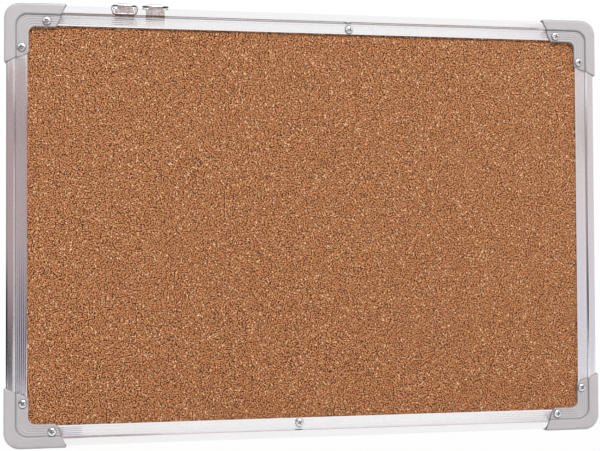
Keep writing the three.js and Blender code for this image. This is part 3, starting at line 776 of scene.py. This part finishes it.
def screw_rings(length):
    """Rings from the tip to the floor of the recess, by angle and height above the seat. The shank's radius
    follows a helix that tapers to the point; the head is a rim and a quarter ellipse, whose circles pass
    over to the outline of the cross as they near it; the recess is that outline, drawn in as it goes down.
    Gives also how much painted shade each ring gets: painted shade in the recess, and a painted contact
    shadow on the rim and all below it."""
    angle = (np.arange(SCREW_ANGLES) + 0.5) * 2 * np.pi / SCREW_ANGLES
    height = np.linspace(-length, SHANK_TOP, SHANK_RINGS)[:, None]
    taper = np.clip((height + length) / POINT_LENGTH, 0, 1)
    turn = (height / THREAD_PITCH - angle[None] / (2 * np.pi)) % 1
    ridge = np.clip(1 - np.abs(turn - 0.5) * THREAD_STEEPNESS, 0, 1)
    shank = (TIP_RADIUS + (SHANK_RADIUS - TIP_RADIUS) * taper) + THREAD_DEPTH * taper * ridge
    cross = cross_radius(angle)[None]
    circle = np.ones_like(cross)
    rim_turn = np.linspace(0, np.pi / 2, RIM_RINGS)[:, None]
    under = (HEAD_RADIUS - RIM_ROUND + RIM_ROUND * np.sin(rim_turn)) * circle
    under_height = RIM_ROUND * (1 - np.cos(rim_turn))
    share = np.linspace(0, 1, DOME_RINGS)[:, None]
    to_cross = share**DOME_CROWDING
    dome = HEAD_RADIUS * circle * (1 - to_cross) + (cross + CROSS_LIP) * to_cross
    rise = np.sqrt(np.clip(1 - (dome / HEAD_RADIUS) ** 2, 0, 1))
    dome_height = HEAD_RIM + (HEAD_HEIGHT - HEAD_RIM) * rise
    edge_height = dome_height[-1:]
    sink = np.array(RECESS_SINKS)[:, None]
    recess = cross * (1 - (1 - CROSS_TAPER) * sink)
    recess_height = edge_height - RECESS_LEDGE - (edge_height - HEAD_HEIGHT + CROSS_DEPTH) * sink
    radius = np.vstack([shank, under, dome, recess])
    level = np.vstack([height * circle, under_height * circle, dome_height, recess_height])
    rim_shade = np.clip(1 - share[:, 0] / RIM_SHADE_SHARE, 0, 1)
    dull = np.concatenate([np.ones(len(shank) + len(under)), rim_shade, RECESS_SHADE * np.ones(len(recess))])
    return angle, radius, level, dull


def tube_faces(stations, points):
    """Faces of a closed ring carried along stations: quads round it, and one face over each end."""
    ring = np.arange(points)
    ends = [ring[::-1].tolist(), (ring + (stations - 1) * points).tolist()]
    return ring_quads(stations, points).tolist() + ends


zinc, place = new_finish("bright_zinc_plate", {"Metallic": 1.0})
plating = noise(place, PLATING_WAVES, detail=3.0, roughness=0.6)
driver_rub = noise(place, DRIVER_WAVES, detail=3.0)
# Painted shade from the points: the recess and the rim are darkened nearly to black and made rougher.
dull = named(place, "dull", "Fac")
bright = mixed(plating * 0.5 + driver_rub * 0.5, ZINC_SHADOW, ZINC_BRIGHT)
feed(zinc, {
    "Base Color": mixed(dull * 0.85, bright, ZINC_PAINTED_SHADE),
    "Roughness": 0.13 + 0.12 * plating + 0.08 * driver_rub + 0.2 * dull,
    "Normal": bump(plating, strength=0.08, distance=0.05 * MM),
})

screw_nodes = sorted(name for name in frame["nodes"] if "_screw_" in name)
for number, node in enumerate(screw_nodes):
    low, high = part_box(node)
    seat = low.y + HEAD_HEIGHT
    angle, radius, level, dull = screw_rings(high.y - seat)
    angle = angle + SCREW_TURN * number
    x = (low.x + high.x) / 2 + radius * np.cos(angle)
    z = (low.z + high.z) / 2 + radius * np.sin(angle)
    points = np.stack([x, seat - level, z], axis=-1)
    screw_faces = tube_faces(*radius.shape)
    screw = add_piece(f"{node}_pan_head", points, screw_faces, zinc, "board", node)
    name_points(screw, "dull", np.broadcast_to(dull[:, None, None], points.shape))

# Hanger clips: spring steel strip, nickel plated, bent cold. A plate with a foot lies on the rail's step,
# and a narrower strap wraps the ring's wire in a knuckle and runs over the rail to a hook behind it.
CLIP_SHEET = 0.8 * MM
CLIP_HALF_WIDTH = 7.7 * MM
KNUCKLE_HALF_WIDTH = 5.8 * MM
SHOULDER_RUN = 1.1 * MM
CLIP_FOOT = 1.2 * MM
CLIP_BACK_HOOK = 7 * MM
CLIP_BEND = 0.75 * MM
CLIP_STRAP_BEND = 1.1 * MM
CLIP_EDGE_ROUND = 0.16 * MM
CLIP_EDGE_STEPS = 5
CLIP_FACET = 0.5 * MM
KNUCKLE_RADIUS = 1.35 * MM
KNUCKLE_START, KNUCKLE_END = np.radians((-45, 155))
KNUCKLE_STEPS = 28
CLIP_STATIONS = 14
# Painted shade: a dark line along the plate's lower crease, where it bends down towards the foot.
CLIP_CREASE_SHADE_REACH = 0.35 * MM
HANDS = ("left", "right")
ROLLED_WAVES = 700.0
ROLLED_STRETCH = (1.0, 14.0, 14.0)
WEAR_WAVES = 340.0
WORN = (0.36, 0.64)
NICKEL_SHADE = (0.33, 0.28, 0.28, 1)
NICKEL_LIGHT = (0.64, 0.57, 0.57, 1)
NICKEL_PAINTED_SHADE = (0.04, 0.036, 0.036, 1)
pivots = {joint["child"]: joint["pos_m"] for joint in frame["joints"] if joint["type"] == "hinge"}


def clip_line(pivot_out, pivot_level):
    """The middle line of the strip: foot, plate, shoulder, the arc of the knuckle about the pivot, the
    strap over the rail and the hook behind it. Gives also the distances along it of the plate's lower
    crease and its shoulder."""
    stand_off = FIT_GAP + CLIP_SHEET / 2
    plate = BAND_FRONT + stand_off
    foot = RIB_CREST + stand_off
    beside_step = RIB_ZONE - RIB_FLOOR * STEP_SLOPE - stand_off * np.hypot(1, STEP_SLOPE)
    ankle = beside_step + foot * STEP_SLOPE
    crease = beside_step + plate * STEP_SLOPE
    turn = np.linspace(KNUCKLE_START, KNUCKLE_END, KNUCKLE_STEPS)
    knuckle = np.stack([np.sin(turn), np.cos(turn)], axis=1) * KNUCKLE_RADIUS + (pivot_out, pivot_level)
    shoulder = knuckle[0, 0] - (knuckle[0, 1] - plate)
    before = rounded([
        (ankle - CLIP_FOOT, foot, 0),
        (ankle, foot, CLIP_BEND),
        (crease, plate, CLIP_BEND),
        (shoulder, plate, CLIP_BEND),
        (*knuckle[0], 0),
    ])
    strap_out = RAIL_FACE + stand_off
    strap_back = RAIL_BACK - stand_off
    after = rounded([
        (*knuckle[-1], 0),
        (strap_out, knuckle[-1, 1] - (knuckle[-1, 0] - strap_out), CLIP_STRAP_BEND),
        (strap_out, strap_back, CLIP_STRAP_BEND),
        (strap_out - CLIP_BACK_HOOK, strap_back, 0),
    ])
    line = refined(np.vstack([before[:-1], knuckle, after[1:]]), CLIP_FACET)
    return line, reached(line, [(crease, plate), (shoulder, plate)])


def carried_clip(line, shoulder_at, window):
    """The strip: its middle line moved half a thickness to each side, and carried along X. Its half width
    eases from the plate's to the strap's at the shoulder, and both faces sink to round its long edges."""
    run = unit(np.gradient(line, axis=0))
    side = np.stack([-run[:, 1], run[:, 0]], axis=1)
    ease = np.clip((travelled(line) - shoulder_at + SHOULDER_RUN / 2) / SHOULDER_RUN, 0, 1)
    half = CLIP_HALF_WIDTH + (KNUCKLE_HALF_WIDTH - CLIP_HALF_WIDTH) * (3 - 2 * ease) * ease**2
    bend = np.linspace(0, np.pi / 2, CLIP_EDGE_STEPS)
    flat = np.linspace(-1, 1, CLIP_STATIONS)[1:-1]
    inset = CLIP_EDGE_ROUND * np.concatenate([1 - np.sin(bend), 0 * flat, 1 - np.sin(bend[::-1])])
    reach = np.concatenate([-1 + 0 * bend, flat, 1 + 0 * bend])
    trim = CLIP_EDGE_ROUND * np.concatenate([1 - np.cos(bend), 0 * flat, np.cos(bend[::-1]) - 1])
    thick = (CLIP_SHEET / 2 - inset)[:, None, None]
    front = line + side * thick
    back = line - side * thick
    section = np.concatenate([front, back[:, ::-1]], axis=1)
    x = reach[:, None] * np.append(half, half[::-1])[None] + trim[:, None]
    return np.stack([x, -section[..., 1], window + section[..., 0]], axis=-1)


nickel, place = new_finish("nickel_plated_steel", {"Metallic": 1.0})
rolled = noise(stretched(place, *ROLLED_STRETCH), ROLLED_WAVES, detail=3.0, roughness=0.6)
wear = noise(place, WEAR_WAVES, detail=4.0, roughness=0.6)
# Painted shade from the points: the clips' crease and the ring wire near its pivot are darkened nearly to
# black and made rougher.
dull = named(place, "dull", "Fac")
bright = mixed(rolled * 0.4 + between(wear, *WORN) * 0.6, NICKEL_SHADE, NICKEL_LIGHT)
feed(nickel, {
    "Base Color": mixed(dull * 0.92, bright, NICKEL_PAINTED_SHADE),
    "Roughness": 0.13 + 0.12 * wear + 0.06 * rolled + 0.15 * dull,
    "Normal": bump(rolled + wear, strength=0.06, distance=0.05 * MM),
})

for hand in HANDS:
    pivot = pivots[f"{hand}_ring"]
    line, (crease_at, shoulder_at) = clip_line(pivot[2] - WINDOW_TOP, -pivot[1])
    points = carried_clip(line, shoulder_at, WINDOW_TOP) + np.array([pivot[0], 0, 0])
    clip_faces = carried_faces(*points.shape[:2])
    node = f"hanger_clip_{hand}"
    clip = add_piece(f"{node}_strip", points, clip_faces, nickel, f"{hand}_clip", node)
    # Painted shade along the plate's lower crease.
    dull = np.exp(-(((travelled(line) - crease_at) / CLIP_CREASE_SHADE_REACH) ** 2))
    name_points(clip, "dull", np.broadcast_to(np.append(dull, dull[::-1])[None, :, None], points.shape))

# Hanger rings: nickel-plated wire bent to a trapezium whose two ends meet inside the clip's knuckle. The
# left one hangs in front of its clip and the right one is laid back over the rail.
RING_WIRE = 1.5 * MM
RING_PIVOT_WIDTH = 23 * MM
RING_BAR_WIDTH = 18.8 * MM
RING_BEND = 1.9 * MM
RING_BEND_STEPS = 9
RING_END_GAP = 1 * MM
RING_SIDES = 20
RING_FACET = 0.4 * MM
# Painted shade on the wire: darkest at the bar in the knuckle, fading over this reach down to a least share
# that covers the whole ring.
RING_SHADE_REACH = 2.5 * MM
RING_LEAST_SHADE = 0.5


def ring_line(reach):
    """The wire's middle line as (sideways, down), from one end in the knuckle round to the other."""
    pivot = (RING_PIVOT_WIDTH - RING_WIRE) / 2
    bar = (RING_BAR_WIDTH - RING_WIRE) / 2
    half = [(RING_END_GAP / 2, 0, 0), (pivot, 0, RING_BEND), (bar, reach, RING_BEND)]
    other = [(-sideways, down, bend) for sideways, down, bend in half[::-1]]
    return refined(rounded(half + other, RING_BEND_STEPS), RING_FACET)


def carried_wire(line, pivot, fall):
    """A round wire along a flat line: a circle at each point, in the plane of the line's normal and the
    normal of the plane that the line lies in. Down in the line is the unit vector fall."""
    run = unit(np.gradient(line, axis=0))
    turn = np.arange(RING_SIDES) * 2 * np.pi / RING_SIDES
    sideways = np.array([1.0, 0.0, 0.0])
    through = np.cross(sideways, fall)
    middle = pivot + line[:, :1] * sideways + line[:, 1:] * fall
    normal = -run[:, 1:] * sideways + run[:, :1] * fall
    circle = np.cos(turn)[None, :, None] * normal[:, None] + np.sin(turn)[None, :, None] * through
    return middle[:, None] + RING_WIRE / 2 * circle


for hand in HANDS:
    pivot = np.array(pivots[f"{hand}_ring"])
    low, high = (np.array(corner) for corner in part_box(f"hanger_ring_{hand}"))
    hangs = low[2] < pivot[2] - RING_WIRE
    bar = (low + RING_WIRE / 2) if hangs else (high - RING_WIRE / 2)
    fall = (bar - pivot) * np.array([0, 1, 1])
    reach = np.linalg.norm(fall)
    line = ring_line(reach)
    points = carried_wire(line, pivot, fall / reach)
    wire_faces = tube_faces(*points.shape[:2])
    node = f"hanger_ring_{hand}"
    ring = add_piece(f"{node}_wire", points, wire_faces, nickel, f"{hand}_ring", node)
    # Painted shade: full at the bar in the knuckle and half as much further down the wire.
    dull = RING_LEAST_SHADE + (1 - RING_LEAST_SHADE) * np.clip(1 - line[:, 1] / RING_SHADE_REACH, 0, 1)
    name_points(ring, "dull", np.broadcast_to(dull[:, None, None], points.shape))

# Studio: a white floor under the board, white all round, and two soft lamps high in front of it and behind
# it that the bright rails don't mirror. Grey cards that only glossy rays meet stand for the darker things
# in the room. Most are a little rosy above and bluish below.
FLOOR_LEVEL = cad_box[0].z
FLOOR_HALF = 4.0
FLOOR_GREY = (0.72, 0.72, 0.72, 1)
FLOOR_ROUGH = 0.9
FLOOR_GLOW = 0.97
WHITE = (1, 1, 1, 1)
WORLD_FILL = 0.18
LAMP_SIZE = 1.6
LAMPS = {"front_lamp": ((0.7, -5.65, 5.6), 560.0), "back_lamp": ((-1.8, 5.6, 4.5), 420.0)}
CARD_ROSY = (0.24, -0.01, -0.005)
CARD_BLUISH = (0.05, -0.02, 0.16)
# Each card: the line it stands along, its two levels, two tones, the heights between them, and its tint.
CARDS = {
    "dark_front": ([(-0.235, -0.3), (-0.55, -0.3)], (FLOOR_LEVEL, 0.19), (0.08, 0.36), (-0.16, -0.02), 1.0),
    "dark_low": ([(-0.13, -0.3), (-0.235, -0.3)], (-0.12, 0.1), (0.08, 0.36), (-0.16, -0.02), 1.0),
    "dark_wall": ([(-0.55, -0.3), (-0.55, 0.7)], (FLOOR_LEVEL, 0.212), (0.005, 0.3), (-0.08, -0.01), 1.0),
    "grey_side": (
        [(0.31, -0.3), (0.8, -0.3), (0.8, 0.3)], (FLOOR_LEVEL, 0.25), (0.67, 0.64), (-0.1, 0.1), 0.5
    ),
    "front_shade": ([(-0.25, -0.33), (0.3, -0.33)], (0.09, 0.145), (0.1, 0.1), (0.0, 1.0), 0.0),
    "left_near": ([(-0.226, -0.03), (-0.192, -0.03)], (-0.16, 0.14), (0.43, 0.42), (-0.1, 0.05), 1.0),
    "right_near": ([(0.21, -0.03), (0.232, -0.03)], (-0.16, 0.14), (0.66, 0.63), (-0.1, 0.1), 0.5),
}
SHADE_HALF = 0.21
SHADE_NEAR = -0.0205
SHADE_FAR = -0.0125
SHADE_LEVEL = 0.145
SHADE_TONE = 0.15


def seen(tree):
    """1 for the rays that see the studio as plain white, which are camera, glossy and transmission rays,
    and 0 for the rest."""
    kinds = tree.nodes.new("ShaderNodeLightPath").outputs
    total = Tone(kinds["Is Camera Ray"]) + Tone(kinds["Is Glossy Ray"]) + Tone(kinds["Is Transmission Ray"])
    return total.maths("MINIMUM", total, 1.0)


def mirrored_card(name, points, faces, tones, heights, tint):
    """A card that only glossy rays meet, whose grey goes from its lower to its upper tone between two
    heights. Its tint makes the upper tone rosy and the lower one bluish."""
    mesh = bpy.data.meshes.new(name)
    mesh.from_pydata(points, [], faces)
    card = placed(name, mesh)
    card.visible_camera = False
    card.visible_diffuse = False
    card.visible_transmission = False
    card.visible_shadow = False
    paint, place = new_finish(name, {})
    bluish = [tones[0] * (1 + tint * part) for part in CARD_BLUISH]
    rosy = [tones[1] * (1 + tint * part) for part in CARD_ROSY]
    tone = mixed(between(coordinate(place, "Z"), *heights), (*bluish, 1), (*rosy, 1))
    glow = place.node("ShaderNodeEmission", {}, {"Color": tone, "Strength": 1.0})
    tree = paint.node_tree
    tree.links.new(glow.socket, tree.nodes["Material Output"].inputs["Surface"])
    mesh.materials.append(paint)


floor_mesh = bpy.data.meshes.new("floor")
corners = [(FLOOR_HALF * x, FLOOR_HALF * y, FLOOR_LEVEL) for x, y in ((-1, -1), (1, -1), (1, 1), (-1, 1))]
floor_mesh.from_pydata(corners, [], [(0, 1, 2, 3)])
floor = placed("floor", floor_mesh)
floor_paint, place = new_finish("white_floor", {"Base Color": FLOOR_GREY, "Roughness": FLOOR_ROUGH})
tree = floor_paint.node_tree
lit = place.node("ShaderNodeEmission", {}, {"Color": WHITE, "Strength": 1.0})
painted = Tone(tree.nodes["Principled BSDF"].outputs[0])
surface = place.node("ShaderNodeMixShader", {}, {0: seen(tree) * FLOOR_GLOW, 1: painted, 2: lit})
tree.links.new(surface.socket, tree.nodes["Material Output"].inputs["Surface"])
floor_mesh.materials.append(floor_paint)

for name, (foot, levels, tones, heights, tint) in CARDS.items():
    points = [(x, y, z) for x, y in foot for z in levels]
    faces = [(corner, corner + 1, corner + 3, corner + 2) for corner in range(0, len(points) - 2, 2)]
    mirrored_card(name, points, faces, tones, heights, tint)
near = [(x, SHADE_NEAR, SHADE_LEVEL) for x in (-SHADE_HALF, SHADE_HALF)]
far = [(x, SHADE_FAR, SHADE_LEVEL) for x in (SHADE_HALF, -SHADE_HALF)]
mirrored_card("shade_below", near + far, [(0, 1, 2, 3)], (SHADE_TONE, SHADE_TONE), (0.0, 1.0), 0.0)

world = bpy.data.worlds.new("white_studio")
world.use_nodes = True
tree = world.node_tree
strength = WORLD_FILL + (1 - WORLD_FILL) * seen(tree)
tree.nodes["Background"].inputs["Color"].default_value = WHITE
tree.links.new(strength.socket, tree.nodes["Background"].inputs["Strength"])
bpy.context.scene.world = world

unlit = bpy.data.collections.new("not_mirroring_the_lamps")
for side in SIDES:
    unlit.objects.link(bpy.data.objects[f"rail_{side}_extrusion"])
for member in unlit.collection_objects:
    member.light_linking.link_state = "EXCLUDE"
for name, (lamp_place, power) in LAMPS.items():
    lamp_data = bpy.data.lights.new(name, "AREA")
    lamp_data.energy = power
    lamp_data.size = LAMP_SIZE
    lamp = placed(name, lamp_data)
    lamp.location = lamp_place
    lamp.rotation_euler = (-Vector(lamp_place)).to_track_quat("-Z", "Y").to_euler()
    lamp.light_linking.receiver_collection = unlit

# Camera: to the left of the middle of the board and about level with it, turned to the right. Its place,
# turn and lens are those at which the frame's edges lie about as they do in the photograph.
CAMERA_PLACE = (-147.1 * MM, -844.6 * MM, -19.0 * MM)
CAMERA_YAW, CAMERA_PITCH, CAMERA_ROLL = np.radians((9.222, 1.228, -0.265))
CAMERA_LENS = 60.53
CAMERA_NEAR = 10 * MM

camera_data = bpy.data.cameras.new("camera")
camera_data.sensor_fit = "HORIZONTAL"
camera_data.lens = CAMERA_LENS
camera_data.clip_start = CAMERA_NEAR
camera = placed("camera", camera_data)
turn = Matrix.Rotation(-CAMERA_YAW, 4, "Z") @ Matrix.Rotation(np.pi / 2 + CAMERA_PITCH, 4, "X")
camera.matrix_world = Matrix.Translation(CAMERA_PLACE) @ turn @ Matrix.Rotation(CAMERA_ROLL, 4, "Z")
bpy.context.scene.camera = camera
bpy.context.scene.view_settings.view_transform = "Standard"
